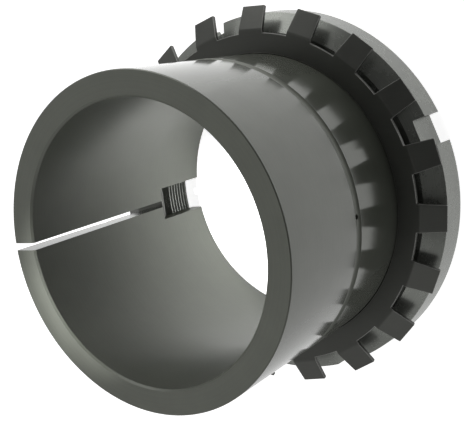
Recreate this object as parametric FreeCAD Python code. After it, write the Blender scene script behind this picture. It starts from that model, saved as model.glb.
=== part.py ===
"""Bearing adapter sleeve: a slit taper sleeve with its lock washer and its slotted lock nut.

Frame, in millimetres: Z is the axis and points from the thread end to the plain end. The origin
is the middle of the thread end face, on which the part stands. The keyway and the slit lie on +Y.
"""
import FreeCAD, Part
import math
import os

# Taper sleeve, whose walls are measured outwards from its bore
sleeve_length = 169.0
bore_d = 170.0
thread_wall = 10.0
seat_above_thread = 0.07
taper = 1.0 / 12.0
bore_front_break = 1.2
bore_rear_break = 0.8
plain_end_break = 0.6
thread_end_break = 1.6

# Thread M190x3, drawn as a plain cylinder near its pitch diameter
thread_mean_depth = 1.0
thread_running_clearance = 0.05
sleeve_thread_length = 34.0
thread_runout = 1.0

# Keyway at the thread end and the slit that runs on from it
keyway_width = 21.6
keyway_length = 43.0
slit_width = 4.4

# Oil way: round-bottomed ring groove on the taper, hole in its floor, duct and tapped port
groove_width = 6.0
groove_depth = 1.2
groove_from_plain_end = 78.0
oil_hole_d = 3.0
oil_hole_angle = -91.1
oil_duct_d = 4.0
port_drill_d = 5.0
port_depth = 14.0

# Lock washer, pressed from sheet
washer_thickness = 2.5
washer_bore_clearance = 0.6
washer_from_nut = 8.5
washer_ring_width = 12.8
tooth_length = 17.8
tooth_count = 19
tooth_root_width = 18.2
tooth_tip_width = 16.4
tooth_bend = 25.0
tooth_bend_start = 1.0
tooth_bend_radius = 2.0
tooth_angle = 1.9
tab_width = 20.0
tab_tip_above_bore = 3.0

# Lock nut
nut_width = 27.0
nut_wall = 25.0
nut_face_width = 12.5
nut_chamfer = 30.0
nut_from_sleeve_end = 1.5
nut_rear_break = 0.8
nut_bore_front_chamfer = 3.6
nut_bore_rear_chamfer = 1.6
slot_count = 4
slot_width = 18.5
slot_depth = 7.2
slot_angle = 17.6

# Overrun that lets a cutting shape pass clean through what it cuts
overrun = 5.0

Z_AXIS = FreeCAD.Vector(0, 0, 1)
ORIGIN = FreeCAD.Vector(0, 0, 0)

# Radii and heights worked out from the sizes above
bore_r = bore_d / 2.0
thread_r = bore_r + thread_wall
sleeve_thread_r = thread_r - thread_mean_depth
nut_bore_r = sleeve_thread_r + thread_running_clearance
taper_start_z = sleeve_thread_length + thread_runout
nut_r = thread_r + nut_wall
nut_face_r = thread_r + nut_face_width
nut_rear_z = nut_from_sleeve_end
nut_front_z = nut_rear_z + nut_width
washer_rear_z = nut_front_z + washer_from_nut
washer_front_z = washer_rear_z + washer_thickness
washer_bore_r = thread_r + washer_bore_clearance
washer_root_r = washer_bore_r + washer_ring_width
washer_flat_tip_r = washer_root_r + tooth_length


def taper_radius(z):
    """Radius of the taper at a height z above the thread end."""
    return thread_r + seat_above_thread + (z - taper_start_z) * taper / 2.0


# The taper is widest at the plain end
plain_end_r = taper_radius(sleeve_length)


def point(r, z):
    """A point of a turning profile, in the XZ plane."""
    return FreeCAD.Vector(r, 0, z)


def revolve(edges):
    """Turns a closed profile of edges once round the Z axis."""
    face = Part.Face(Part.Wire(edges))
    return face.revolve(ORIGIN, Z_AXIS, 360)


def straight_edges(points):
    """Edges that join the (r, z) corners of a profile one after another."""
    return Part.makePolygon([point(r, z) for r, z in points]).Edges


def turned(points):
    """Turns a closed profile, given as its (r, z) corners, once round the Z axis."""
    return revolve(straight_edges(points + points[:1]))


def turn_to(shape, angle):
    """A copy of a shape, turned about the Z axis by an angle in degrees."""
    copy = shape.copy()
    copy.rotate(ORIGIN, Z_AXIS, angle)
    return copy


def radial_box(width, r_from, r_to, z_from, z_to):
    """A box on +Y, centred across it, that reaches from one radius to another."""
    corner = FreeCAD.Vector(-width / 2.0, r_from, z_from)
    return Part.makeBox(width, r_to - r_from, z_to - z_from, corner)


def make_sleeve_blank():
    """The turned sleeve: straight bore, tapered outside with its oil groove, and thread end."""
    groove_z = sleeve_length - groove_from_plain_end
    groove_bottom = (taper_radius(groove_z - groove_width / 2.0), groove_z - groove_width / 2.0)
    groove_floor = (taper_radius(groove_z) - groove_depth, groove_z)
    groove_top = (taper_radius(groove_z + groove_width / 2.0), groove_z + groove_width / 2.0)
    below_groove = straight_edges([
        (bore_r, sleeve_length - bore_front_break),
        (bore_r, bore_rear_break),
        (bore_r + bore_rear_break, 0),
        (sleeve_thread_r - thread_end_break, 0),
        (sleeve_thread_r, thread_end_break),
        (sleeve_thread_r, sleeve_thread_length),
        (taper_radius(taper_start_z), taper_start_z),
        groove_bottom,
    ])
    groove = Part.Arc(point(*groove_bottom), point(*groove_floor), point(*groove_top)).toShape()
    above_groove = straight_edges([
        groove_top,
        (taper_radius(sleeve_length - plain_end_break), sleeve_length - plain_end_break),
        (plain_end_r - plain_end_break, sleeve_length),
        (bore_r + bore_front_break, sleeve_length),
        (bore_r, sleeve_length - bore_front_break),
    ])
    return revolve(below_groove + [groove] + above_groove)


def make_oil_way():
    """The drillings: tapped port and duct up the wall, and the hole out to the ring groove."""
    groove_z = sleeve_length - groove_from_plain_end
    wall_middle = (bore_r + sleeve_thread_r) / 2.0
    foot = FreeCAD.Vector(wall_middle, 0, 0)
    port = Part.makeCylinder(port_drill_d / 2.0, port_depth, foot, Z_AXIS)
    duct = Part.makeCylinder(oil_duct_d / 2.0, groove_z, foot, Z_AXIS)
    duct_tip = Part.makeSphere(oil_duct_d / 2.0, FreeCAD.Vector(wall_middle, 0, groove_z))
    out = FreeCAD.Vector(wall_middle, 0, groove_z)
    hole = Part.makeCylinder(oil_hole_d / 2.0, plain_end_r - wall_middle, out, FreeCAD.Vector(1, 0, 0))
    return turn_to(port.fuse([duct, duct_tip, hole]), oil_hole_angle)


def make_sleeve():
    """The taper sleeve with its keyway, slit and oil way."""
    outside = plain_end_r + overrun
    keyway = radial_box(keyway_width, bore_r - overrun, outside, -overrun, keyway_length)
    slit = radial_box(slit_width, bore_r - overrun, outside, -overrun, sleeve_length + overrun)
    return make_sleeve_blank().cut([keyway, slit, make_oil_way()])


def make_washer_dish():
    """The washer before its gaps are punched: a flat ring whose rim is bent towards the nut."""
    bend = math.radians(tooth_bend)
    bend_r = washer_root_r + tooth_bend_start
    neutral = (tooth_bend_radius + washer_thickness / 2.0) * bend
    straight = washer_flat_tip_r - bend_r - neutral
    centre = point(bend_r, washer_rear_z - tooth_bend_radius)
    along = point(math.cos(bend), -math.sin(bend))

    def on_bend(radius, angle):
        return centre + point(radius * math.sin(angle), radius * math.cos(angle))

    outer = tooth_bend_radius + washer_thickness
    front_tip = on_bend(outer, bend) + along * straight
    rear_tip = on_bend(tooth_bend_radius, bend) + along * straight
    front_inner = point(washer_bore_r, washer_front_z)
    rear_inner = point(washer_bore_r, washer_rear_z)
    return revolve([
        Part.LineSegment(front_inner, on_bend(outer, 0)).toShape(),
        Part.Arc(on_bend(outer, 0), on_bend(outer, bend / 2.0), on_bend(outer, bend)).toShape(),
        Part.LineSegment(on_bend(outer, bend), front_tip).toShape(),
        Part.LineSegment(front_tip, rear_tip).toShape(),
        Part.LineSegment(rear_tip, on_bend(tooth_bend_radius, bend)).toShape(),
        Part.Arc(
            on_bend(tooth_bend_radius, bend),
            on_bend(tooth_bend_radius, bend / 2.0),
            on_bend(tooth_bend_radius, 0),
        ).toShape(),
        Part.LineSegment(on_bend(tooth_bend_radius, 0), rear_inner).toShape(),
        Part.LineSegment(rear_inner, front_inner).toShape(),
    ])


def make_tooth_gap():
    """The punched gap beside the tooth on +Y, as a prism whose floor follows the root circle."""
    pitch = 360.0 / tooth_count
    outer_r = washer_flat_tip_r + overrun
    narrowing = (tooth_root_width - tooth_tip_width) / 2.0 / tooth_length

    def flank(r, side):
        half = tooth_root_width / 2.0 - (r - washer_root_r) * narrowing
        corner = FreeCAD.Vector(side * half, math.sqrt(r * r - half * half), 0)
        if side > 0:
            return corner
        return FreeCAD.Rotation(Z_AXIS, -pitch).multVec(corner)

    floor_middle = FreeCAD.Rotation(Z_AXIS, -pitch / 2.0).multVec(FreeCAD.Vector(0, washer_root_r, 0))
    near_root, near_tip = flank(washer_root_r, 1), flank(outer_r, 1)
    far_root, far_tip = flank(washer_root_r, -1), flank(outer_r, -1)
    outline = Part.Wire([
        Part.LineSegment(near_root, near_tip).toShape(),
        Part.LineSegment(near_tip, far_tip).toShape(),
        Part.LineSegment(far_tip, far_root).toShape(),
        Part.Arc(far_root, floor_middle, near_root).toShape(),
    ])
    height = tooth_length + washer_thickness + 2.0 * overrun
    prism = Part.Face(outline).extrude(FreeCAD.Vector(0, 0, height))
    prism.translate(FreeCAD.Vector(0, 0, washer_front_z + overrun - height))
    return prism


def make_washer():
    """The toothed lock washer; its teeth stand a little turned from the tab in the keyway."""
    gap = make_tooth_gap()
    gaps = [turn_to(gap, tooth_angle + index * 360.0 / tooth_count) for index in range(tooth_count)]
    tab_tip_r = bore_r + tab_tip_above_bore
    tab = radial_box(tab_width, tab_tip_r, washer_bore_r + washer_thickness, washer_rear_z, washer_front_z)
    return make_washer_dish().fuse(tab).removeSplitter().cut(gaps)


def make_nut():
    """The lock nut: chamfered towards the washer, with spanner slots along its rim."""
    rim_z = nut_front_z - (nut_r - nut_face_r) * math.tan(math.radians(nut_chamfer))
    blank = turned([
        (nut_bore_r + nut_bore_rear_chamfer, nut_rear_z),
        (nut_r - nut_rear_break, nut_rear_z),
        (nut_r, nut_rear_z + nut_rear_break),
        (nut_r, rim_z),
        (nut_face_r, nut_front_z),
        (nut_bore_r + nut_bore_front_chamfer, nut_front_z),
        (nut_bore_r, nut_front_z - nut_bore_front_chamfer),
        (nut_bore_r, nut_rear_z + nut_bore_rear_chamfer),
    ])
    slot = radial_box(slot_width, nut_r - slot_depth, nut_r + overrun, nut_rear_z - overrun, nut_front_z + overrun)
    step = 360.0 / slot_count
    slots = [turn_to(slot, slot_angle - 90.0 + index * step) for index in range(slot_count)]
    return blank.cut(slots)


def main():
    os.makedirs("parts", exist_ok=True)
    pieces = {
        "tapered_sleeve": make_sleeve(),
        "lock_washer": make_washer(),
        "lock_nut": make_nut(),
    }
    for name, shape in pieces.items():
        solid = shape.Solids[0]
        solid.exportStep(os.path.join("parts", name + ".step"))
        print(name, "solids", len(shape.Solids), "valid", shape.isValid(), "cm3", round(shape.Volume / 1000.0, 1))


main()
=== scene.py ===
"""Studio picture of a bearing adapter sleeve: a slit taper sleeve, its lock washer and its lock nut.

The part stands on its thread end. Z is its axis, and the keyway and the slit lie on +Y.
"""

import logging
import math
from collections.abc import Sequence
from dataclasses import dataclass, field
from enum import Enum

import bmesh
import bpy
from mathutils import Matrix, Vector


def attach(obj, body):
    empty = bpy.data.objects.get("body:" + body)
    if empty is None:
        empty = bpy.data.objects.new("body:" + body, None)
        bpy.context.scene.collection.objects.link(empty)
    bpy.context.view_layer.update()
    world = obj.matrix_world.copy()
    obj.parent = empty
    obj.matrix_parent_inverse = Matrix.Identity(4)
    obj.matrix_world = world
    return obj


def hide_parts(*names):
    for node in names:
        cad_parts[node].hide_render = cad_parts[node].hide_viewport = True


logging.basicConfig(level=logging.INFO, format="%(message)s")
log = logging.getLogger("adapter_sleeve")

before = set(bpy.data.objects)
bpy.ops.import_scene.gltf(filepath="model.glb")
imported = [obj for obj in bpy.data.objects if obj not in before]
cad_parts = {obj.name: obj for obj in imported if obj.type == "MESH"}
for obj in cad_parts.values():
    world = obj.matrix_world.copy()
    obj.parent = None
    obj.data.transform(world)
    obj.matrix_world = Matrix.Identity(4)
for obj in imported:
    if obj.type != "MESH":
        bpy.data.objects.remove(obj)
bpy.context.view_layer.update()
MM = 0.001

NEAR = 0.001 * MM

Colour = tuple[float, float, float]
Point = tuple[float, float, float]
Profile = list[tuple[float, float]]
Input = float | bpy.types.NodeSocket
Tone = Colour | bpy.types.NodeSocket


class Lay(Enum):
    """Way in which the marks of the tool run over a steel face."""

    TURNED = "rings round the axis"
    ROLLED = "straight along X"


class Carving(Enum):
    """What is done to a piece with a second shape."""

    CUT = "DIFFERENCE"
    KEEP = "INTERSECT"


# Meshes


def turned_ring(profile: Profile, steps: int) -> bmesh.types.BMesh:
    """Spins a closed profile once round the Z axis.

    Args:
        profile: Corners of the profile as (radius, height), in metres.
        steps: Number of facets round the axis.

    Returns:
        A closed ring whose faces point outwards.
    """
    bm = bmesh.new()
    corners = [bm.verts.new((radius, 0.0, height)) for radius, height in profile]
    sides = [bm.edges.new(pair) for pair in zip(corners, corners[1:] + corners[:1])]
    bmesh.ops.spin(
        bm, geom=corners + sides, cent=(0, 0, 0), axis=(0, 0, 1), dvec=(0, 0, 0),
        angle=math.tau, steps=steps, use_merge=True, use_duplicate=False,
    )
    bmesh.ops.recalc_face_normals(bm, faces=bm.faces[:])
    return bm


def coil(profile: Profile, pitch: float, start: float, turns: float, steps: int) -> bmesh.types.BMesh:
    """Winds a closed profile into a right-hand helix round the Z axis.

    Args:
        profile: Corners of the ridge as (radius, height above its own middle), in metres.
        pitch: Rise of one turn.
        start: Height of the ridge's middle on the +X side, where the helix starts.
        turns: Number of turns.
        steps: Number of facets in one turn.

    Returns:
        A closed ridge with a flat face at each end.
    """
    bm = bmesh.new()
    corners = [bm.verts.new((radius, 0.0, start + height)) for radius, height in profile]
    end = bm.faces.new(corners)
    count = round(turns * steps)
    bmesh.ops.spin(
        bm, geom=corners + end.edges[:] + [end], cent=(0, 0, 0), axis=(0, 0, 1),
        dvec=(0, 0, pitch / steps), angle=math.tau * count / steps, steps=count, use_duplicate=False,
    )
    bmesh.ops.recalc_face_normals(bm, faces=bm.faces[:])
    return bm


def block(size: Sequence[float], centre: Sequence[float], turn: float = 0.0) -> bmesh.types.BMesh:
    """A box for cutting, turned about the Z axis after it is placed.

    Args:
        size: Its lengths along X, Y and Z.
        centre: Its middle.
        turn: Angle in radians.

    Returns:
        The box.
    """
    bm = bmesh.new()
    bmesh.ops.create_cube(bm, size=1.0)
    bmesh.ops.scale(bm, vec=size, verts=bm.verts[:])
    bmesh.ops.translate(bm, vec=centre, verts=bm.verts[:])
    bmesh.ops.rotate(bm, cent=(0, 0, 0), matrix=Matrix.Rotation(turn, 3, "Z"), verts=bm.verts[:])
    return bm


def rod(radius: float, foot: Vector, tip: Vector, facets: int) -> bmesh.types.BMesh:
    """A round bar from one point to another.

    Args:
        radius: Its radius.
        foot: Middle of one end.
        tip: Middle of the other end.
        facets: Number of flats round it.

    Returns:
        The bar.
    """
    bm = bmesh.new()
    along = tip - foot
    bmesh.ops.create_cone(
        bm, cap_ends=True, segments=facets, radius1=radius, radius2=radius, depth=along.length
    )
    turn = Vector((0, 0, 1)).rotation_difference(along).to_matrix()
    bmesh.ops.rotate(bm, cent=(0, 0, 0), matrix=turn, verts=bm.verts[:])
    bmesh.ops.translate(bm, vec=(foot + tip) / 2, verts=bm.verts[:])
    return bm


def as_object(bm: bmesh.types.BMesh, name: str) -> bpy.types.Object:
    """Puts a bmesh into a new object of the scene, at the origin.

    Args:
        bm: The mesh, which is freed.
        name: Name of the object.

    Returns:
        The object.
    """
    mesh = bpy.data.meshes.new(name)
    bm.to_mesh(mesh)
    bm.free()
    piece = bpy.data.objects.new(name, mesh)
    bpy.context.scene.collection.objects.link(piece)
    return piece


def carve(piece: bpy.types.Object, how: Carving, *tools: bmesh.types.BMesh) -> None:
    """Cuts or clips a piece with each of some closed shapes, and leaves a plain mesh.

    Args:
        piece: The piece, whose mesh changes.
        how: What each shape does to it.
        tools: The shapes, which are used up.
    """
    for number, shape in enumerate(tools):
        tool = as_object(shape, f"{piece.name}_tool_{number}")
        step = piece.modifiers.new("carve", "BOOLEAN")
        step.operation = how.value
        step.solver = "EXACT"
        step.object = tool
        bpy.context.view_layer.update()
        shaped = piece.evaluated_get(bpy.context.evaluated_depsgraph_get())
        mesh = bpy.data.meshes.new_from_object(shaped)
        piece.modifiers.clear()
        piece.data = mesh
        spare = tool.data
        bpy.data.objects.remove(tool)
        bpy.data.meshes.remove(spare)
    piece.data.name = piece.name


def merge(piece: bpy.types.Object, other: bpy.types.Object) -> None:
    """Moves the mesh of another object into a piece, as a shell of its own.

    Args:
        piece: The piece, whose mesh grows.
        other: The other object, which is used up.
    """
    bm = bmesh.new()
    bm.from_mesh(piece.data)
    bm.from_mesh(other.data)
    bm.to_mesh(piece.data)
    bm.free()
    spare = other.data
    bpy.data.objects.remove(other)
    bpy.data.meshes.remove(spare)


def weigh_normals(piece: bpy.types.Object) -> None:
    """Keeps large flat faces flat in the shading where they run into a bend or a rounding.

    Args:
        piece: The piece, which gains a modifier.
    """
    step = piece.modifiers.new("weighted_normals", "WEIGHTED_NORMAL")
    step.weight = 60
    step.keep_sharp = True


def break_edges(piece: bpy.types.Object, width: float, sharper_than: float, segments: int = 2) -> None:
    """Rounds the sharp edges of a piece, and marks the rounded faces for a lighter tone, partly wear and
    partly a painted highlight along the edge.

    Args:
        piece: The piece, whose mesh changes.
        width: How far the rounding reaches from the edge.
        sharper_than: Least angle between two faces, in degrees, at which their edge is rounded.
        segments: Number of faces across the rounding.
    """
    bm = bmesh.new()
    bm.from_mesh(piece.data)
    wear_and_highlight = bm.faces.layers.float.new("wear_and_highlight")
    limit = math.radians(sharper_than)
    edges = [e for e in bm.edges if len(e.link_faces) == 2 and e.calc_face_angle() > limit]
    rounded = bmesh.ops.bevel(
        bm, geom=edges, offset=width, offset_type="OFFSET", segments=segments, profile=0.5,
        affect="EDGES", clamp_overlap=True, material=-1,
    )
    # The rounded faces are marked for a lighter tone: partly wear, partly a painted highlight along the
    # edge.
    for face in rounded["faces"]:
        face[wear_and_highlight] = 1.0
    bm.to_mesh(piece.data)
    bm.free()


def mark_walls(
    piece: bpy.types.Object, bore: float, seat_start: float, slope: float, slit_width: float
) -> None:
    """Marks the tapered seat and the slit of the sleeve as finely ground, and its bore as bored.

    Args:
        piece: The piece, whose mesh gains the face attributes "ground" and "bored".
        bore: Radius of the bore.
        seat_start: Least height of the ground seat.
        slope: How fast the seat's radius grows with its height.
        slit_width: Width of the slit on +Y.
    """
    ground = piece.data.attributes.new("ground", "FLOAT", "FACE")
    bored = piece.data.attributes.new("bored", "FLOAT", "FACE")
    least_wall = 5.0 * MM
    near_bore = 0.1 * MM
    near_upright = 0.1
    near_lean = 0.01
    seat_lean = -slope / math.hypot(1.0, slope)
    for number, polygon in enumerate(piece.data.polygons):
        centre, normal = polygon.center, polygon.normal
        radius = centre.to_2d().length
        on_slit = abs(centre.x) < slit_width and abs(normal.x) > 1 - near_lean
        on_taper = centre.z > seat_start and abs(normal.z - seat_lean) < near_lean
        in_bore = radius < bore + near_bore and abs(normal.z) < near_upright
        if on_slit or (on_taper and radius > bore + least_wall):
            ground.data[number].value = 1.0
        elif in_bore:
            bored.data[number].value = 1.0


def smooth(piece: bpy.types.Object, up_to: float = 30.0) -> None:
    """Shades a piece smooth, but for its sharp edges.

    Args:
        piece: The piece, whose mesh changes.
        up_to: Greatest angle between two faces, in degrees, at which their edge is smooth.
    """
    piece.data.polygons.foreach_set("use_smooth", [True] * len(piece.data.polygons))
    piece.data.set_sharp_from_angle(angle=math.radians(up_to))
    piece.data.update()


# Finishes


class Recipe:
    """Adds and links the nodes of one material or world."""

    def __init__(self, tree: bpy.types.NodeTree) -> None:
        """Starts with an empty node tree."""
        self.tree = tree
        self.tree.nodes.clear()

    def add(
        self, kind: str, inputs: dict[str | int, object] | None = None, **options: object
    ) -> bpy.types.Node:
        """Adds a node.

        Args:
            kind: Its type, without the ShaderNode in front.
            inputs: Values or output sockets for its inputs, by name or number.
            options: Its settings.

        Returns:
            The node.
        """
        node = self.tree.nodes.new("ShaderNode" + kind)
        for name, value in options.items():
            setattr(node, name, value)
        for name, value in (inputs or {}).items():
            if isinstance(value, bpy.types.NodeSocket):
                self.tree.links.new(value, node.inputs[name])
            else:
                node.inputs[name].default_value = value
        return node

    def maths(self, operation: str, *values: Input) -> bpy.types.NodeSocket:
        """The result of a Math node on values or sockets."""
        return self.add("Math", dict(enumerate(values)), operation=operation).outputs[0]

    def blend(self, share: bpy.types.NodeSocket, first: Tone, second: Tone) -> bpy.types.NodeSocket:
        """A colour between two others.

        Args:
            share: Share of the second colour, from 0 to 1.
            first: A colour, or a socket that gives one.
            second: The same.

        Returns:
            The output socket of the mixed colour.
        """
        node = self.add("Mix", {0: share}, data_type="RGBA")
        for socket, value in ((6, first), (7, second)):
            if isinstance(value, bpy.types.NodeSocket):
                self.tree.links.new(value, node.inputs[socket])
            else:
                node.inputs[socket].default_value = (*value, 1.0)
        return node.outputs[2]


@dataclass(frozen=True)
class Walls:
    """How the marked walls of a piece differ from the rest of it.

    Attributes:
        ground_roughness: Middle roughness of the finely ground faces.
        bored_bare: How far the bore mirrors as bare metal, from 0 to 1.
        bored_roughness: Middle roughness of the bore.
        marks_gone: Share of the height of the marks that is gone on all these faces.
    """

    ground_roughness: float
    bored_bare: float
    bored_roughness: float
    marks_gone: float


@dataclass(frozen=True)
class Steel:
    """Blackened steel with the marks of the tool that made it.

    Attributes:
        name: Name of the material.
        colour: Middle tone of the oxide.
        worn_and_highlight: Lighter tone of the rounded edges, partly wear and partly a painted highlight.
        bare: How far the face mirrors as bare metal, and not as an oxide that scatters, from 0 to 1.
        roughness: Middle roughness.
        stretch: How far highlights are drawn out across the tool marks, from 0 to 1.
        lay: The way in which the marks run.
        mark_width: Typical width of a mark.
        mark_depth: Height of the marks.
        mark_tone: Change of tone from mark to mark, as a share.
        blotch_tone: Change of tone from blotch to blotch, as a share.
        blotch_width: Typical width of a blotch.
        walls: How its marked walls differ, on a piece that has them.
        contrast: How far the dark and the light tone lie from the middle one, as a share.
        grain_width: Typical width of a grain.
        grain_height: Height of the grain, as a share of that of the marks.
        smoothest: Least share of the middle roughness.
        blotch_roughness: Share of the middle roughness that the blotches add to it.
        grain_roughness: Share of the middle roughness that the grain adds to it.
        wear_and_highlight_everywhere: Share of the lighter edge tone, wear and painted highlight, all
            over a rounded edge.
        wear_and_highlight_in_grain: Share of that lighter edge tone that the grain adds to it.
    """

    name: str
    colour: Colour
    # Lighter tone of the rounded edges: partly wear, partly a painted highlight along the edge.
    worn_and_highlight: Colour
    bare: float
    roughness: float
    stretch: float
    lay: Lay
    mark_width: float
    mark_depth: float
    mark_tone: float
    blotch_tone: float
    blotch_width: float
    walls: Walls | None = None
    contrast: float = 0.5
    grain_width: float = MM / 1.4
    grain_height: float = 0.3
    smoothest: float = 0.8
    blotch_roughness: float = 0.3
    grain_roughness: float = 0.1
    wear_and_highlight_everywhere: float = 0.1
    wear_and_highlight_in_grain: float = 0.8

    def material(self) -> bpy.types.Material:
        """Builds the material.

        Returns:
            The material, for the mesh of a piece.
        """
        made = bpy.data.materials.new(self.name)
        made.use_nodes = True
        recipe = Recipe(made.node_tree)
        place = recipe.add("TexCoord").outputs["Object"]
        marks = recipe.add(
            "TexNoise", {"W": self._across_marks(recipe, place), "Scale": 1 / self.mark_width,
                         "Detail": 3.0, "Roughness": 0.65}, noise_dimensions="1D",
        ).outputs["Fac"]
        blotches = recipe.add(
            "TexNoise", {"Vector": place, "Scale": 1 / self.blotch_width,
                         "Detail": 4.0, "Roughness": 0.6},
        ).outputs["Fac"]
        grain = recipe.add(
            "TexNoise", {"Vector": place, "Scale": 1 / self.grain_width, "Detail": 2.0}
        ).outputs["Fac"]
        bare, middle, strength = self._by_wall(recipe)
        in_grain = recipe.maths("MULTIPLY_ADD", grain, self.grain_roughness, self.smoothest)
        uneven = recipe.maths("MULTIPLY_ADD", blotches, self.blotch_roughness, in_grain)
        roughness = recipe.maths("MULTIPLY", middle, uneven)
        height = recipe.maths("MULTIPLY_ADD", grain, self.grain_height, marks)
        bump = recipe.add("Bump", {"Height": height, "Distance": self.mark_depth, "Strength": strength})
        shader = recipe.add("BsdfPrincipled", {
            "Base Color": self._colour(recipe, marks, blotches, grain), "Metallic": bare,
            "Roughness": roughness, "Normal": bump.outputs[0],
            "Anisotropic": self.stretch, "Anisotropic Rotation": 0.25,
        })
        if self.lay is Lay.TURNED:
            tangent = recipe.add("Tangent", direction_type="RADIAL", axis="Z")
            recipe.tree.links.new(tangent.outputs[0], shader.inputs["Tangent"])
        surface = recipe.add("OutputMaterial")
        recipe.tree.links.new(shader.outputs[0], surface.inputs["Surface"])
        return made

    def _across_marks(self, recipe: Recipe, place: bpy.types.NodeSocket) -> bpy.types.NodeSocket:
        """Distance across the tool marks: along the turned profile, or along the sheet.

        Args:
            recipe: The material's nodes.
            place: Place on the piece.

        Returns:
            The distance in metres.
        """
        axes = recipe.add("SeparateXYZ", {0: place})
        if self.lay is Lay.ROLLED:
            return axes.outputs["X"]
        flat = recipe.add("CombineXYZ", {"X": axes.outputs["X"], "Y": axes.outputs["Y"]})
        radius = recipe.add("VectorMath", {0: flat.outputs[0]}, operation="LENGTH").outputs["Value"]
        return recipe.maths("SUBTRACT", radius, axes.outputs["Z"])

    def _by_wall(self, recipe: Recipe) -> tuple[Input, Input, Input]:
        """What differs from wall to wall, as plain numbers where the piece has no marked walls.

        Args:
            recipe: The material's nodes.

        Returns:
            Share of bare metal, middle roughness and strength of the marks.
        """
        if self.walls is None:
            return self.bare, self.roughness, 1.0
        ground = recipe.add("Attribute", attribute_name="ground").outputs["Fac"]
        bored = recipe.add("Attribute", attribute_name="bored").outputs["Fac"]
        bare = recipe.maths("MULTIPLY_ADD", bored, self.walls.bored_bare - self.bare, self.bare)
        finer = self.walls.ground_roughness - self.roughness
        turned = recipe.maths("MULTIPLY_ADD", ground, finer, self.roughness)
        rougher = self.walls.bored_roughness - self.roughness
        middle = recipe.maths("MULTIPLY_ADD", bored, rougher, turned)
        marked = recipe.maths("ADD", ground, bored)
        return bare, middle, recipe.maths("MULTIPLY_ADD", marked, -self.walls.marks_gone, 1.0)

    def _colour(
        self, recipe: Recipe, marks: bpy.types.NodeSocket, blotches: bpy.types.NodeSocket,
        grain: bpy.types.NodeSocket,
    ) -> bpy.types.NodeSocket:
        """Colour of the oxide, moved by the marks and the blotches, with lighter rounded edges that are
        partly wear and partly a painted highlight.

        Args:
            recipe: The material's nodes.
            marks: Pattern of the tool marks.
            blotches: Pattern of the blotches.
            grain: Pattern of the grain, which breaks up the lighter edge tone.

        Returns:
            The colour.
        """
        from_marks = recipe.maths("MULTIPLY", recipe.maths("SUBTRACT", marks, 0.5), self.mark_tone)
        off_middle = recipe.maths("SUBTRACT", blotches, 0.5)
        from_blotches = recipe.maths("MULTIPLY", off_middle, self.blotch_tone)
        tone = recipe.maths("ADD", recipe.maths("ADD", from_marks, from_blotches), 0.5)
        dark = tuple((1 - self.contrast) * part for part in self.colour)
        light = tuple((1 + self.contrast) * part for part in self.colour)
        # Rounded edges turn lighter here: partly wear, partly a painted highlight along the edge.
        wear_and_highlight = recipe.add("Attribute", attribute_name="wear_and_highlight").outputs["Fac"]
        patchy = recipe.maths("MULTIPLY_ADD", grain, self.wear_and_highlight_in_grain, self.wear_and_highlight_everywhere)
        wear_and_highlight_share = recipe.maths("MULTIPLY", wear_and_highlight, patchy)
        return recipe.blend(wear_and_highlight_share, recipe.blend(tone, dark, light), self.worn_and_highlight)


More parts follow.
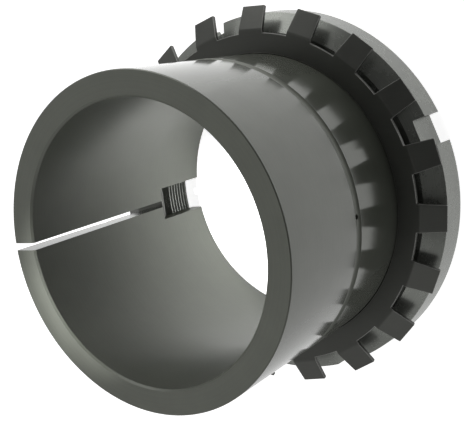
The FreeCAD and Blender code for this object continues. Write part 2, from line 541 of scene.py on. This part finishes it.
@dataclass(frozen=True)
class PaleFloor:
    """Pale floor that the camera and the metal see as white, with the part's soft shadow on it.

    Attributes:
        colour: Its own tone.
        glow: White that it adds towards the camera.
        glow_in_metal: White that it adds towards reflections, inside the lit patch.
        patch_centre: Middle of the lit patch under the part.
        lit_to: Radius of the lit patch.
        dark_from: Radius beyond which the floor adds nothing towards reflections.
        bore: Radius of the part's bore, inside which one side of the floor is brighter.
        bore_bright_side: Direction of that side.
        bore_dark_at: Place along that direction, in bore radii, up to which the glow is least.
        bore_bright_at: Place along that direction, in bore radii, from which the glow is greatest.
        bore_least: Least share of the glow.
        bore_greatest: Greatest share of the glow.
    """

    colour: Colour
    glow: float
    glow_in_metal: float
    patch_centre: Point
    lit_to: float
    dark_from: float
    bore: float
    bore_bright_side: Point = (0.35, 0.93, 0.0)
    bore_dark_at: float = -0.5
    bore_bright_at: float = 0.6
    bore_least: float = 0.05
    bore_greatest: float = 1.15

    def material(self) -> bpy.types.Material:
        """Builds the material.

        Returns:
            The material, for the mesh of a piece.
        """
        made = bpy.data.materials.new("pale_floor")
        made.use_nodes = True
        recipe = Recipe(made.node_tree)
        path = recipe.add("LightPath").outputs
        seen = recipe.maths("MULTIPLY", path["Is Camera Ray"], self.glow)
        mirrored = recipe.maths("ADD", path["Is Glossy Ray"], path["Is Transmission Ray"])
        place = recipe.add("TexCoord").outputs["Object"]
        radius = recipe.add(
            "VectorMath", {0: place, 1: self.patch_centre}, operation="DISTANCE"
        ).outputs["Value"]
        patch = recipe.add("MapRange", {
            "Value": radius, "From Min": self.lit_to, "From Max": self.dark_from,
            "To Min": self.glow_in_metal, "To Max": 0.0,
        }, interpolation_type="SMOOTHSTEP").outputs["Result"]
        shade = self._shade_in_bore(recipe, place)
        glow = recipe.maths("MULTIPLY_ADD", mirrored, recipe.maths("MULTIPLY", patch, shade), seen)
        shader = recipe.add("BsdfPrincipled", {
            "Base Color": (*self.colour, 1.0), "Roughness": 0.9, "Specular IOR Level": 0.1,
            "Emission Color": (1.0, 1.0, 1.0, 1.0), "Emission Strength": glow,
        })
        surface = recipe.add("OutputMaterial")
        recipe.tree.links.new(shader.outputs[0], surface.inputs["Surface"])
        return made

    def _shade_in_bore(self, recipe: Recipe, place: bpy.types.NodeSocket) -> bpy.types.NodeSocket:
        """Share of the glow, which falls towards the dark side inside the bore.

        Args:
            recipe: The material's nodes.
            place: Place on the floor.

        Returns:
            The share: no less than 1 outside the bore.
        """
        depth = recipe.add(
            "VectorMath", {0: place, 1: self.bore_bright_side}, operation="DOT_PRODUCT"
        ).outputs["Value"]
        share = recipe.add("MapRange", {
            "Value": depth,
            "From Min": self.bore_dark_at * self.bore, "From Max": self.bore_bright_at * self.bore,
            "To Min": self.bore_least, "To Max": self.bore_greatest,
        }).outputs["Result"]
        radius = recipe.add("VectorMath", {0: place}, operation="LENGTH").outputs["Value"]
        return recipe.maths("MAXIMUM", share, recipe.maths("GREATER_THAN", radius, self.bore))


SLEEVE_STEEL = Steel(
    name="sleeve_blackened_steel", colour=(0.122, 0.130, 0.108), worn_and_highlight=(0.19, 0.195, 0.18), bare=0.22,
    roughness=0.40, stretch=0.45, lay=Lay.TURNED, mark_width=0.9 * MM, mark_depth=0.004 * MM,
    mark_tone=0.22, blotch_tone=0.30, blotch_width=22 * MM,
    walls=Walls(ground_roughness=0.14, bored_bare=0.37, bored_roughness=0.42, marks_gone=0.9),
)
WASHER_STEEL = Steel(
    name="washer_blackened_sheet", colour=(0.060, 0.062, 0.055), worn_and_highlight=(0.28, 0.28, 0.265), bare=0.5,
    roughness=0.38, stretch=0.0, lay=Lay.ROLLED, mark_width=1.6 * MM, mark_depth=0.002 * MM,
    mark_tone=0.10, blotch_tone=0.30, blotch_width=14 * MM,
)
NUT_STEEL = Steel(
    name="nut_blackened_steel", colour=(0.196, 0.205, 0.186), worn_and_highlight=(0.28, 0.28, 0.265), bare=0.5,
    roughness=0.27, stretch=0.4, lay=Lay.TURNED, mark_width=1.0 * MM, mark_depth=0.005 * MM,
    mark_tone=0.55, blotch_tone=0.45, blotch_width=12 * MM,
)
FLOOR = PaleFloor(
    colour=(0.8, 0.8, 0.8), glow=0.87, glow_in_metal=1.0, patch_centre=(0.22, -0.05, 0.0), lit_to=0.20,
    dark_from=0.62, bore=0.085,
)


# The part


@dataclass(frozen=True)
class Thread:
    """Metric right-hand thread, seen as the ridge that winds round the axis.

    Attributes:
        major: Radius over the sleeve's crests.
        pitch: Rise of one turn.
        middle_depth: Depth of the pitch radius under the crests, in pitches.
        sleeve_depth: Depth of the sleeve's root under the crests, in pitches.
        nut_depth: Depth of the nut's crests under the sleeve's, in pitches.
        root_play: How far the nut's hole clears the sleeve's crests.
        clearance: Gap that each flank of the nut's thread keeps from the sleeve's.
        flank: Angle between a flank and a plane square to the axis.
        steps: Facets in one turn.
    """

    major: float = 95.0 * MM
    pitch: float = 3.0 * MM
    middle_depth: float = 0.32476
    sleeve_depth: float = 0.61343
    nut_depth: float = 0.54127
    root_play: float = 0.15 * MM
    clearance: float = 0.03 * MM
    flank: float = math.radians(30)
    steps: int = 120

    @property
    def middle(self) -> float:
        """Pitch radius, where ridge and groove are equally wide."""
        return self.major - self.middle_depth * self.pitch

    @property
    def sleeve_root(self) -> float:
        """Radius of the sleeve's core under its ridge."""
        return self.major - self.sleeve_depth * self.pitch

    @property
    def nut_crest(self) -> float:
        """Radius of the hole that the nut's ridge leaves."""
        return self.major - self.nut_depth * self.pitch

    @property
    def nut_root(self) -> float:
        """Radius of the nut's hole between its ridges."""
        return self.major + self.root_play

    def ridge(self, inner: float, outer: float, points_out: bool) -> Profile:
        """Section of a ridge with straight flanks.

        Args:
            inner: Its smallest radius.
            outer: Its largest radius.
            points_out: True on the sleeve, False in the nut.

        Returns:
            Its four corners, as (radius, height above the ridge's middle).
        """
        slope = -math.tan(self.flank) if points_out else math.tan(self.flank)
        play = 0.0 if points_out else self.clearance

        def half(radius: float) -> float:
            """Half the ridge's width at a radius."""
            return self.pitch / 4 - play + slope * (radius - self.middle)

        return [(inner, -half(inner)), (outer, -half(outer)), (outer, half(outer)), (inner, half(inner))]


@dataclass
class TaperSleeve:
    """The slit taper sleeve: bore, tapered seat with its oil groove, threaded end and keyway.

    Attributes:
        bore: Radius of the bore.
        length: Length of the sleeve.
        seat_start: Height of the taper's lower end.
        seat_start_radius: Radius of the taper there.
        slope: How fast the taper's radius grows with its height.
        thread: Thread at the lower end.
        thread_length: Height up to which it is cut.
        thread_end: Radius of the lower end face, inside the chamfer.
        bore_front_break: Chamfer of the bore at the plain end.
        bore_rear_break: Chamfer of the bore at the thread end.
        rim_break: Chamfer round the plain end.
        groove_height: Height of the oil groove's middle.
        groove_width: Width of the oil groove.
        groove_depth: Depth of the oil groove.
        keyway_width: Width of the keyway.
        keyway_length: Height up to which the keyway runs.
        slit_width: Width of the slit.
        wall_cut: Radial depth of the shapes that cut through the wall.
        oil_angle: Angle of the oil way from +X.
        oil_hole: Radius of the hole in the groove.
        port_radius: Radius of the port in the thread end.
        port_depth: Depth of the port.
        duct_radius: Radius of the duct in the wall.
        duct_inset: How far under the thread's crests the wall ends whose middle the duct follows.
        rounding: Reach of the rounding of its edges.
        facets: Facets round the axis.
    """

    bore: float = 85.0 * MM
    length: float = 169.0 * MM
    seat_start: float = 35.0 * MM
    seat_start_radius: float = 95.07 * MM
    slope: float = 1.0 / 24.0
    thread: Thread = field(default_factory=Thread)
    thread_length: float = 34.0 * MM
    thread_end: float = 92.4 * MM
    bore_front_break: float = 1.2 * MM
    bore_rear_break: float = 0.8 * MM
    rim_break: float = 0.6 * MM
    groove_height: float = 91.0 * MM
    groove_width: float = 6.0 * MM
    groove_depth: float = 1.2 * MM
    keyway_width: float = 21.6 * MM
    keyway_length: float = 43.0 * MM
    slit_width: float = 4.4 * MM
    wall_cut: float = 30.0 * MM
    oil_angle: float = math.radians(-91.1)
    oil_hole: float = 1.5 * MM
    port_radius: float = 2.5 * MM
    port_depth: float = 14.0 * MM
    duct_radius: float = 2.0 * MM
    duct_inset: float = 1.0 * MM
    rounding: float = 0.15 * MM
    facets: int = 360

    def seat(self, height: float) -> float:
        """Radius of the taper at a height above the thread end."""
        return self.seat_start_radius + (height - self.seat_start) * self.slope

    def groove(self) -> Profile:
        """The round bottom of the oil groove.

        Returns:
            Points from its lower rim to its upper rim, as (radius, height).
        """
        half = self.groove_width / 2
        radius = (half * half + self.groove_depth * self.groove_depth) / (2 * self.groove_depth)
        reach = math.asin(half / radius)
        centre = self.seat(self.groove_height) - self.groove_depth + radius
        steps = 4
        return [
            (centre - radius * math.cos(turn), self.groove_height + radius * math.sin(turn))
            for turn in (reach * step / steps for step in range(-steps, steps + 1))
        ]

    def profile(self) -> Profile:
        """The turned section of the sleeve, without its thread.

        Returns:
            Its corners, as (radius, height).
        """
        core = self.thread.sleeve_root
        return [
            (self.bore + self.bore_rear_break, 0.0),
            (self.thread_end, 0.0),
            (core, core - self.thread_end),
            (core, self.thread_length),
            (self.seat(self.seat_start), self.seat_start),
            *self.groove(),
            (self.seat(self.length - self.rim_break), self.length - self.rim_break),
            (self.seat(self.length) - self.rim_break, self.length),
            (self.bore + self.bore_front_break, self.length),
            (self.bore, self.length - self.bore_front_break),
            (self.bore, self.bore_rear_break),
        ]

    def threaded_end(self) -> bpy.types.Object:
        """The thread's ridge, run out at its top and chamfered at the sleeve's end.

        Returns:
            The ridge, whose foot is sunk into the core.
        """
        sunk = 0.2 * MM
        start = 0.3 * MM
        run_out = self.thread_length - 1.4 * MM
        end = self.thread_length + 0.6 * MM
        thread = self.thread
        ridge = thread.ridge(thread.sleeve_root - sunk, thread.major, True)
        turns = (self.thread_length + 2 * thread.pitch) / thread.pitch
        piece = as_object(coil(ridge, thread.pitch, -thread.pitch, turns, thread.steps), "sleeve_thread")
        inside = thread.sleeve_root - 1.0 * MM
        outside = thread.major + 0.4 * MM
        carve(piece, Carving.KEEP, turned_ring([
            (inside, start),
            (self.thread_end + start, start),
            (outside, outside - self.thread_end),
            (outside, run_out),
            (thread.sleeve_root, end),
            (inside, end),
        ], self.facets))
        return piece

    def keyway(self) -> bmesh.types.BMesh:
        """The keyway at the thread end, as a shape to cut."""
        size = (self.keyway_width, self.wall_cut, self.keyway_length * 2)
        return block(size, (0, self.bore + self.wall_cut / 3, 0))

    def slit(self) -> bmesh.types.BMesh:
        """The slit along the whole wall, as a shape to cut."""
        size = (self.slit_width, self.wall_cut, self.length * 3)
        return block(size, (0, self.bore + self.wall_cut / 3, 0))

    def oil_way(self) -> list[bmesh.types.BMesh]:
        """The oil way through the wall.

        Returns:
            The duct up the wall, its port and the hole into the groove, as shapes to cut.
        """
        past_face = 1.0 * MM
        wall = (self.bore + self.thread.major - self.duct_inset) / 2
        out = Vector((math.cos(self.oil_angle), math.sin(self.oil_angle), 0.0))
        foot = out * wall
        corner = foot + Vector((0, 0, self.groove_height))
        past = out * (self.seat(self.length) + past_face) + Vector((0, 0, self.groove_height))
        below = Vector((0, 0, -past_face))
        return [
            rod(self.duct_radius, foot + below, corner, facets=32),
            rod(self.port_radius, foot + below, foot + Vector((0, 0, self.port_depth)), facets=40),
            rod(self.oil_hole, corner, past, facets=32),
        ]

    def build(self) -> bpy.types.Object:
        """Makes the sleeve, dresses it and puts it in the place of its CAD solid.

        Returns:
            The sleeve.
        """
        piece = as_object(turned_ring(self.profile(), self.facets), "taper_sleeve_body")
        thread = self.threaded_end()
        carve(piece, Carving.CUT, self.keyway(), self.slit(), *self.oil_way())
        break_edges(piece, self.rounding, sharper_than=60)
        carve(thread, Carving.CUT, self.keyway())
        merge(piece, thread)
        smooth(piece)
        weigh_normals(piece)
        mark_walls(piece, self.bore, self.seat_start, self.slope, self.slit_width)
        piece.data.materials.clear()
        piece.data.materials.append(SLEEVE_STEEL.material())
        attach(piece, "sleeve")
        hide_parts("tapered_sleeve")
        return piece


@dataclass
class LockWasher:
    """The lock washer: a punched ring of bent teeth, with a tab that runs in the keyway.

    Attributes:
        inner: Radius of the hole.
        root: Radius of the ring between the teeth.
        tip: Radius of the flat washer over its teeth.
        rear: Height of the face towards the nut.
        thickness: Thickness of the sheet.
        teeth: Number of teeth.
        root_width: Width of a tooth at the ring.
        tip_width: Width of a tooth at its tip.
        bend: Angle by which the teeth are bent towards the nut.
        bend_start: Flat length between the ring and the bend.
        bend_radius: Radius inside the bend.
        bend_steps: Facets round the bend.
        tooth_facets: Facets round the ring in a tooth.
        gap_facets: Facets round the ring in the middle of a gap.
        teeth_turn: Angle between the tab and the tooth beside it.
        tab_width: Width of the tab.
        tab_tip: Place of the tab's tip along +Y.
        rounding: Reach of the rounding of its edges.
        weld: Distance within which two vertices become one.
    """

    inner: float = 95.6 * MM
    root: float = 108.4 * MM
    tip: float = 126.2 * MM
    rear: float = 37.0 * MM
    thickness: float = 2.5 * MM
    teeth: int = 19
    root_width: float = 18.2 * MM
    tip_width: float = 16.4 * MM
    bend: float = math.radians(25.0)
    bend_start: float = 1.0 * MM
    bend_radius: float = 2.0 * MM
    bend_steps: int = 5
    tooth_facets: int = 6
    gap_facets: int = 5
    teeth_turn: float = math.radians(1.9)
    tab_width: float = 20.0 * MM
    tab_tip: float = 88.0 * MM
    rounding: float = 0.35 * MM
    weld: float = 0.01 * MM

    def sector(self) -> bmesh.types.BMesh:
        """One tooth on +Y with the ring behind it.

        Returns:
            A flat and bent sheet with no thickness.
        """
        tooth = math.asin(self.root_width / 2 / self.root)
        side = math.asin(self.tab_width / 2 / self.inner) - tooth
        share = math.tau / self.teeth
        gap = share - 2 * tooth - 2 * side
        bm = bmesh.new()
        turn = math.pi / 2 + tooth
        ends = [
            bm.verts.new((radius * math.cos(turn), radius * math.sin(turn), 0.0))
            for radius in (self.inner, (self.inner + self.root) / 2, self.root)
        ]
        row = [bm.edges.new(pair) for pair in zip(ends, ends[1:])]
        geom = ends + row
        root_edges: list[bmesh.types.BMEdge] = []
        stretches = ((2 * tooth, self.tooth_facets), (side, 1), (gap, self.gap_facets), (side, 1))
        for number, (angle, steps) in enumerate(stretches):
            made = bmesh.ops.spin(
                bm, geom=geom, cent=(0, 0, 0), axis=(0, 0, -1), dvec=(0, 0, 0), angle=angle, steps=steps,
                use_duplicate=False,
            )
            geom = made["geom_last"]
            if number == 0:
                root_edges = [
                    e for e in bm.edges
                    if e.is_boundary and all(abs(v.co.to_2d().length - self.root) < NEAR for v in e.verts)
                ]
        self._grow_tooth(bm, root_edges)
        return bm

    def _grow_tooth(self, bm: bmesh.types.BMesh, edges: list[bmesh.types.BMEdge]) -> None:
        """Extrudes the tooth outwards from the ring's edge, round the bend and on to its tip.

        Args:
            bm: The sheet.
            edges: Its edges at the root of the tooth.
        """
        middle = self.bend_radius + self.thickness / 2
        flat_end = self.root + self.bend_start
        straight = self.tip - flat_end - middle * self.bend
        rows = [(flat_end, 0.0, flat_end)]
        for step in range(1, self.bend_steps + 1):
            angle = self.bend * step / self.bend_steps
            rows.append((
                flat_end + middle * math.sin(angle), -middle * (1 - math.cos(angle)),
                flat_end + middle * angle,
            ))
        out, down, _ = rows[-1]
        for part in (0.5, 1.0):
            run = straight * part
            rows.append((
                out + run * math.cos(self.bend), down - run * math.sin(self.bend),
                self.tip - straight * (1 - part),
            ))
        narrowing = (self.root_width - self.tip_width) / (self.tip - self.root)
        for reach, height, along in rows:
            made = bmesh.ops.extrude_edge_only(bm, edges=edges)["geom"]
            verts = [v for v in made if isinstance(v, bmesh.types.BMVert)]
            edges = [e for e in made if isinstance(e, bmesh.types.BMEdge)]
            width = self.root_width - (along - self.root) * narrowing
            widest = max(abs(v.co.x) for v in verts)
            for vert in verts:
                vert.co = Vector((vert.co.x / widest * width / 2, reach, height))

    def sheet(self) -> bmesh.types.BMesh:
        """The whole washer, ready to be given its thickness.

        Returns:
            A flat ring with bent teeth and its tab, at the middle of the sheet.
        """
        bm = self.sector()
        parts = bm.verts[:] + bm.edges[:] + bm.faces[:]
        bmesh.ops.spin(
            bm, geom=parts, cent=(0, 0, 0), axis=(0, 0, 1), dvec=(0, 0, 0), angle=math.tau,
            steps=self.teeth, use_duplicate=True,
        )
        bmesh.ops.remove_doubles(bm, verts=bm.verts[:], dist=self.weld)
        bmesh.ops.rotate(
            bm, cent=(0, 0, 0), matrix=Matrix.Rotation(self.teeth_turn, 3, "Z"),
            verts=[v for v in bm.verts if v.co.to_2d().length > self.inner + NEAR],
        )
        tab_edges = [
            e for e in bm.edges
            if e.is_boundary and all(
                abs(v.co.to_2d().length - self.inner) < NEAR and v.co.y > 0
                and abs(v.co.x) < self.tab_width / 2 + self.weld for v in e.verts
            )
        ]
        made = bmesh.ops.extrude_edge_only(bm, edges=tab_edges)["geom"]
        for vert in made:
            if isinstance(vert, bmesh.types.BMVert):
                vert.co.y = self.tab_tip
        bmesh.ops.recalc_face_normals(bm, faces=bm.faces[:])
        if sum(face.normal.z for face in bm.faces) < 0:
            bmesh.ops.reverse_faces(bm, faces=bm.faces[:])
        bmesh.ops.translate(bm, vec=(0, 0, self.rear + self.thickness / 2), verts=bm.verts[:])
        return bm

    def build(self) -> bpy.types.Object:
        """Makes the washer, dresses it and puts it in the place of its CAD solid.

        Returns:
            The washer.
        """
        piece = as_object(self.sheet(), "toothed_washer")
        shell = piece.modifiers.new("sheet_thickness", "SOLIDIFY")
        shell.thickness = self.thickness
        shell.offset = 0.0
        shell.use_even_offset = True
        bpy.context.view_layer.update()
        solid = piece.evaluated_get(bpy.context.evaluated_depsgraph_get())
        mesh = bpy.data.meshes.new_from_object(solid)
        piece.modifiers.clear()
        piece.data = mesh
        mesh.name = piece.name
        break_edges(piece, self.rounding, sharper_than=60)
        smooth(piece)
        weigh_normals(piece)
        piece.data.materials.clear()
        piece.data.materials.append(WASHER_STEEL.material())
        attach(piece, "washer")
        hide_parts("lock_washer")
        return piece


@dataclass
class LockNut:
    """The lock nut: chamfered towards the washer, with four spanner slots in its rim.

    Attributes:
        rear: Height of the rear face.
        front: Height of the face towards the washer.
        rim: Radius of the rim.
        face: Radius of the front face, inside the chamfer.
        chamfer: Angle of the chamfer to the front face.
        rear_break: Chamfer of the rim at the rear face.
        bore_front: Radius of the hole's chamfer in the front face.
        bore_rear: Radius of the hole's chamfer in the rear face.
        slots: Number of spanner slots.
        slot_width: Width of a slot.
        slot_floor: Distance of a slot's floor from the axis.
        slot_angle: Angle between the slots and the keyway.
        thread: Thread of the hole.
        rounding: Reach of the rounding of its edges.
        facets: Facets round the axis.
    """

    rear: float = 1.5 * MM
    front: float = 28.5 * MM
    rim: float = 120.0 * MM
    face: float = 107.5 * MM
    chamfer: float = math.radians(30.0)
    rear_break: float = 0.8 * MM
    bore_front: float = 97.65 * MM
    bore_rear: float = 95.65 * MM
    slots: int = 4
    slot_width: float = 18.5 * MM
    slot_floor: float = 112.8 * MM
    slot_angle: float = math.radians(17.6)
    thread: Thread = field(default_factory=Thread)
    rounding: float = 0.4 * MM
    facets: int = 360

    def profile(self) -> Profile:
        """The turned section of the nut, without its thread.

        Returns:
            Its corners, as (radius, height).
        """
        hole = self.thread.nut_root
        rim_top = self.front - (self.rim - self.face) * math.tan(self.chamfer)
        return [
            (self.bore_rear, self.rear),
            (self.rim - self.rear_break, self.rear),
            (self.rim, self.rear + self.rear_break),
            (self.rim, rim_top),
            (self.face, self.front),
            (self.bore_front, self.front),
            (hole, self.front - (self.bore_front - hole)),
            (hole, self.rear + self.bore_rear - hole),
        ]

    def threaded_hole(self) -> bpy.types.Object:
        """The ridge of the nut's thread, half a pitch from the sleeve's, clipped by both chamfers.

        Returns:
            The ridge, whose foot is sunk into the nut.
        """
        sunk = 0.2 * MM
        rear_gap = 0.3 * MM
        front_gap = 2.0 * MM
        thread = self.thread
        ridge = thread.ridge(thread.nut_crest, thread.nut_root + sunk, False)
        start = -thread.pitch / 2
        turns = (self.front + 2 * thread.pitch) / thread.pitch
        piece = as_object(coil(ridge, thread.pitch, start, turns, thread.steps), "nut_thread")
        crest = thread.nut_crest - 0.5 * MM
        outside = thread.nut_root + 1.0 * MM
        carve(piece, Carving.KEEP, turned_ring([
            (crest, self.rear + self.bore_rear - crest),
            (self.bore_rear - rear_gap, self.rear + rear_gap),
            (outside, self.rear + rear_gap),
            (outside, self.front - front_gap),
            (self.bore_front - front_gap, self.front - front_gap),
            (crest, self.front - (self.bore_front - crest)),
        ], self.facets))
        return piece

    def build(self) -> bpy.types.Object:
        """Makes the nut, dresses it and puts it in the place of its CAD solid.

        Returns:
            The nut.
        """
        piece = as_object(turned_ring(self.profile(), self.facets), "slotted_nut")
        past_rim = 5 * MM
        height = 80 * MM
        reach = self.rim + past_rim - self.slot_floor
        middle = self.slot_floor + reach / 2
        for number in range(self.slots):
            turn = self.slot_angle - math.pi / 2 + number * math.tau / self.slots
            carve(piece, Carving.CUT, block((self.slot_width, reach, height), (0, middle, 0), turn))
        break_edges(piece, self.rounding, sharper_than=25)
        merge(piece, self.threaded_hole())
        smooth(piece)
        weigh_normals(piece)
        piece.data.materials.clear()
        piece.data.materials.append(NUT_STEEL.material())
        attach(piece, "nut")
        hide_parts("lock_nut")
        return piece


# The studio


@dataclass(frozen=True)
class SoftLamp:
    """Square soft lamp that faces the part.

    Attributes:
        name: Name of the lamp.
        place: Where it hangs, in metres.
        size: Length of its side.
        power: Its power in watts.
        aim_height: Height of the point on the part's axis that it faces.
    """

    name: str
    place: Point
    size: float
    power: float
    aim_height: float = 80 * MM

    def hang(self) -> None:
        """Puts the lamp into the scene."""
        data = bpy.data.lights.new(self.name, "AREA")
        data.shape = "SQUARE"
        data.size = self.size
        data.energy = self.power
        lamp = bpy.data.objects.new(self.name, data)
        bpy.context.scene.collection.objects.link(lamp)
        place = Vector(self.place)
        away = place - Vector((0, 0, self.aim_height))
        turn = away.to_track_quat("Z", "Y").to_matrix().to_4x4()
        lamp.matrix_world = Matrix.Translation(place) @ turn


@dataclass(frozen=True)
class BoreLamp:
    """Narrow lamp above the bore, which lights the floor at the foot of the bore's far wall.

    Attributes:
        place: Where it hangs, in metres.
        pool: Radius of its pool of light on the floor.
        fading: Share of the pool in which the light fades.
        radius: Radius of the lamp.
        power: Its power in watts.
    """

    place: Point = (-0.023, 0.043, 1.6)
    pool: float = 55 * MM
    fading: float = 0.3
    radius: float = 20 * MM
    power: float = 215.0

    def hang(self) -> None:
        """Puts the lamp into the scene."""
        data = bpy.data.lights.new("bore_lamp", "SPOT")
        data.energy = self.power
        data.spot_size = 2 * math.atan(self.pool / self.place[2])
        data.spot_blend = self.fading
        data.shadow_soft_size = self.radius
        lamp = bpy.data.objects.new("bore_lamp", data)
        bpy.context.scene.collection.objects.link(lamp)
        lamp.location = self.place


@dataclass(frozen=True)
class Sky:
    """Soft light of the room, which is pale beyond the keyway and dim on the camera's side.

    Attributes:
        bright_side: Direction of the pale side.
        middle: Place on the ramp, from 0 to 1, of the directions square to it.
        reach: How far along the ramp from the middle the pale side itself lies.
        levels: Level of light at places on the ramp.
    """

    bright_side: Point = (-0.5, 0.85, 0.0)
    middle: float = 0.42
    reach: float = 0.4
    levels: tuple[tuple[float, float], ...] = (
        (0.0, 0.04), (0.20, 0.08), (0.34, 0.19), (0.44, 0.32), (0.56, 0.56), (0.76, 0.78), (1.0, 0.95),
    )

    def spread(self) -> None:
        """Makes it the light of the scene's world."""
        world = bpy.data.worlds.new("studio")
        bpy.context.scene.world = world
        world.use_nodes = True
        recipe = Recipe(world.node_tree)
        direction = recipe.add("TexCoord").outputs["Generated"]
        side = recipe.add(
            "VectorMath", {0: direction, 1: self.bright_side}, operation="DOT_PRODUCT"
        ).outputs["Value"]
        on_ramp = recipe.maths("MULTIPLY_ADD", side, self.reach, self.middle)
        ramp = recipe.add("ValToRGB", {"Fac": on_ramp})
        stops = ramp.color_ramp.elements
        while len(stops) > 1:
            stops.remove(stops[-1])
        for number, (position, level) in enumerate(self.levels):
            stop = stops[0] if number == 0 else stops.new(position)
            stop.position = position
            stop.color = (level, level, level, 1.0)
        shader = recipe.add("Background", {"Color": ramp.outputs[0], "Strength": 1.0})
        surface = recipe.add("OutputWorld")
        recipe.tree.links.new(shader.outputs[0], surface.inputs["Surface"])


@dataclass
class Studio:
    """Floor, sky, lamps and camera.

    Attributes:
        camera_place: Where the camera stands, in metres.
        camera_aim: Point that it looks at.
        camera_up: Direction that is up in the picture.
        lens: Its focal length in millimetres, on a sensor 36 mm wide.
        shift: Shift of the picture across the sensor, in sensor widths.
        floor_radius: Radius of the floor.
        sky: Light of the room.
        lamps: The lamps that hang in it.
    """

    camera_place: Vector = field(default_factory=lambda: Vector((0.117339, -0.429346, 0.657357)))
    camera_aim: Vector = field(default_factory=lambda: Vector((0.000534, -0.005332, 0.085)))
    camera_up: Vector = field(default_factory=lambda: Vector((0.976819, -0.018757, -0.21325)))
    lens: float = 90.33
    shift: tuple[float, float] = (-0.0019, 0.0016)
    floor_radius: float = 4.0
    sky: Sky = Sky()
    lamps: tuple[SoftLamp | BoreLamp, ...] = (
        SoftLamp("key", place=(1.34, 0.46, 0.43), size=1.0, power=10.4),
        SoftLamp("fill", place=(-1.15, -0.37, 1.4), size=1.2, power=3.3),
        BoreLamp(),
    )

    def camera(self) -> None:
        """Sets the camera where the picture was taken from."""
        data = bpy.data.cameras.new("camera")
        data.lens = self.lens
        data.sensor_width = 36.0
        data.shift_x, data.shift_y = self.shift
        data.clip_start = 0.01
        camera = bpy.data.objects.new("camera", data)
        bpy.context.scene.collection.objects.link(camera)
        back = (self.camera_place - self.camera_aim).normalized()
        right = self.camera_up.cross(back).normalized()
        turn = Matrix((right, back.cross(right), back)).transposed()
        camera.matrix_world = Matrix.Translation(self.camera_place) @ turn.to_4x4()
        bpy.context.scene.camera = camera

    def floor(self) -> None:
        """Lays the pale floor."""
        bm = bmesh.new()
        bmesh.ops.create_circle(bm, cap_ends=True, segments=96, radius=self.floor_radius)
        floor = as_object(bm, "studio_floor")
        floor.data.materials.append(FLOOR.material())

    def build(self) -> None:
        """Sets up the floor, the light and the camera."""
        bpy.context.scene.view_settings.view_transform = "Standard"
        self.floor()
        self.sky.spread()
        for lamp in self.lamps:
            lamp.hang()
        self.camera()


def main() -> None:
    """Builds the part and its studio, and reports each piece."""
    for maker in (TaperSleeve(), LockWasher(), LockNut()):
        piece = maker.build()
        log.info("%s: %d faces", piece.name, len(piece.data.polygons))
    Studio().build()


if __name__ == "__main__":
    main()
